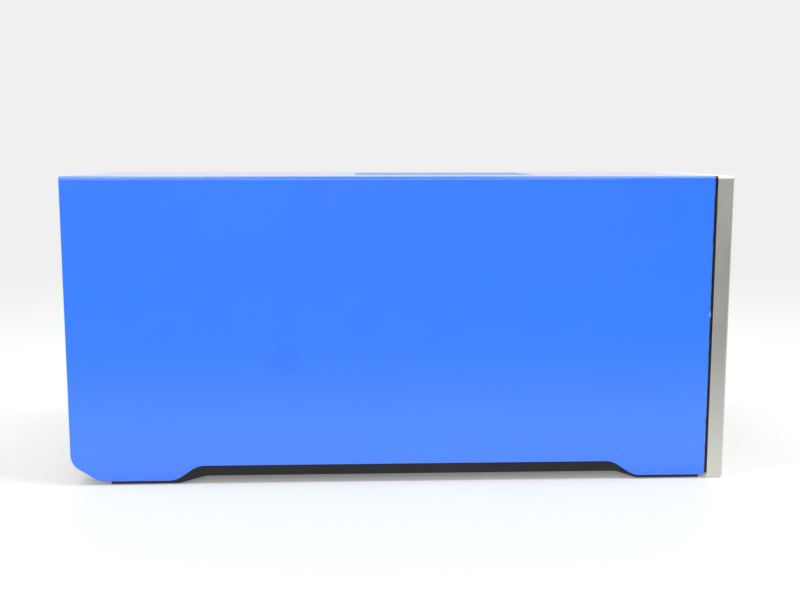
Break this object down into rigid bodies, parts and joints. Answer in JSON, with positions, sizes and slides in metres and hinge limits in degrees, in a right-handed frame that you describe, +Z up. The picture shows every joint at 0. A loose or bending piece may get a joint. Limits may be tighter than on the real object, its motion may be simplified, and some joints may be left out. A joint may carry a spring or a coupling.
{
  "type": "cased single-board desktop computer",
  "caption": "Slim desktop computer case built round one board: folded blue steel cover, black arched base, aluminium front bezel, ports, power supply, fans and drives.",
  "frame": {"origin": "centre of the bounding box in plan, on the surface that the foot pads stand on", "axes": "+X from the back panel towards the front bezel, +Y across the case towards the side away from the one shown, +Z up"},
  "size_m": [0.4646, 0.18, 0.2161],
  "materials": {
    "blue_paint": "smooth gloss powder coat on folded steel sheet",
    "black_paint": "fine matt powder coat on steel sheet",
    "bare_steel": "plain zinc-plated steel sheet",
    "screw_steel": "zinc-plated screws",
    "aluminium": "finely brushed and anodised",
    "cast_aluminium": "cast and machined housing",
    "heatsink": "extruded fins",
    "black_plastic": "fine-textured moulding",
    "gloss_black": "smooth moulding",
    "white_plastic": "natural moulding",
    "rubber": "matt non-slip pad",
    "light_pipe": "clear tinted moulding",
    "circuit_board": "solder mask over glass-fibre board",
    "brass": "turned",
    "contact_brass": "plated contacts",
    "can_aluminium": "sleeved cans",
    "nickel": "nickel-plated shell",
    "cable": "flexible sleeve",
    "ribbon": "flat cable"
  },
  "bodies": {
    "chassis": {"base_tray": "black_paint", "foot_rail_left": "black_plastic", "foot_rail_right": "black_plastic", "foot_pads": "rubber", "top_rails": "black_paint", "rear_panel": "black_paint", "front_frame": "black_paint", "bezel": "aluminium", "bezel_screws": "screw_steel", "control_panel": "gloss_black", "status_lights": "light_pipe", "front_usb_ports": "nickel", "front_io_board": "circuit_board", "front_switches": "black_plastic", "dust_filter": "black_plastic", "front_fan_frame": "black_plastic", "front_fan_screws": "screw_steel", "drive_cage": "bare_steel", "upper_drive": "cast_aluminium", "lower_drive": "cast_aluminium", "drive_screws": "screw_steel", "main_board": "circuit_board", "board_standoffs": "brass", "board_screws": "screw_steel", "processor_socket": "white_plastic", "processor_heatsink": "heatsink", "processor_fan_frame": "black_plastic", "memory_sockets": "black_plastic", "memory_modules": "circuit_board", "chipset_heatsink": "heatsink", "board_power_sockets": "white_plastic", "pin_header": "black_plastic", "board_capacitors": "can_aluminium", "board_chokes": "black_plastic", "coin_cell": "nickel", "usb_port_stacks": "nickel", "network_port": "nickel", "display_port": "nickel", "audio_jacks": "black_plastic", "io_shield": "bare_steel", "psu_case": "bare_steel", "psu_board": "circuit_board", "psu_fan_frame": "black_plastic", "psu_fan_grille": "nickel", "mains_inlet": "black_plastic", "inlet_pins": "contact_brass", "rocker_housing": "black_plastic", "psu_screws": "screw_steel", "main_power_cable": "cable", "drive_cable": "cable", "front_panel_cable": "ribbon"},
    "cover": {"cover": "blue_paint", "cover_screws": "screw_steel"},
    "power_button": {"power_button": "aluminium"},
    "reset_button": {"reset_button": "aluminium"},
    "front_fan_rotor": {"front_fan_rotor": "black_plastic"},
    "processor_fan_rotor": {"processor_fan_rotor": "black_plastic"},
    "psu_fan_rotor": {"psu_fan_rotor": "black_plastic"},
    "mains_rocker": {"mains_rocker": "gloss_black"}
  },
  "joints": [
    {"name": "cover_slide", "type": "slide", "parent": "chassis", "child": "cover", "axis": [-1, 0, 0], "range_m": [0, 0.46]},
    {"name": "power_button_press", "type": "slide", "parent": "chassis", "child": "power_button", "axis": [-1, 0, 0], "range_m": [0, 0.002], "stiffness_N_per_m": 400, "springref_m": -0.002},
    {"name": "reset_button_press", "type": "slide", "parent": "chassis", "child": "reset_button", "axis": [-1, 0, 0], "range_m": [0, 0.0012], "stiffness_N_per_m": 400, "springref_m": -0.002},
    {"name": "front_fan_spin", "type": "hinge", "parent": "chassis", "child": "front_fan_rotor", "pos_m": [0.18985, 0, 0.084], "axis": [1, 0, 0], "continuous": true},
    {"name": "processor_fan_spin", "type": "hinge", "parent": "chassis", "child": "processor_fan_rotor", "pos_m": [-0.17315, -0.006, 0.0803], "axis": [0, 0, 1], "continuous": true},
    {"name": "psu_fan_spin", "type": "hinge", "parent": "chassis", "child": "psu_fan_rotor", "pos_m": [-0.22775, 0.024, 0.165], "axis": [1, 0, 0], "continuous": true},
    {"name": "mains_rocker_tilt", "type": "hinge", "parent": "chassis", "child": "mains_rocker", "pos_m": [-0.22855, -0.046, 0.147], "axis": [0, 0, 1], "range_deg": [-14, 0]}
  ]
}
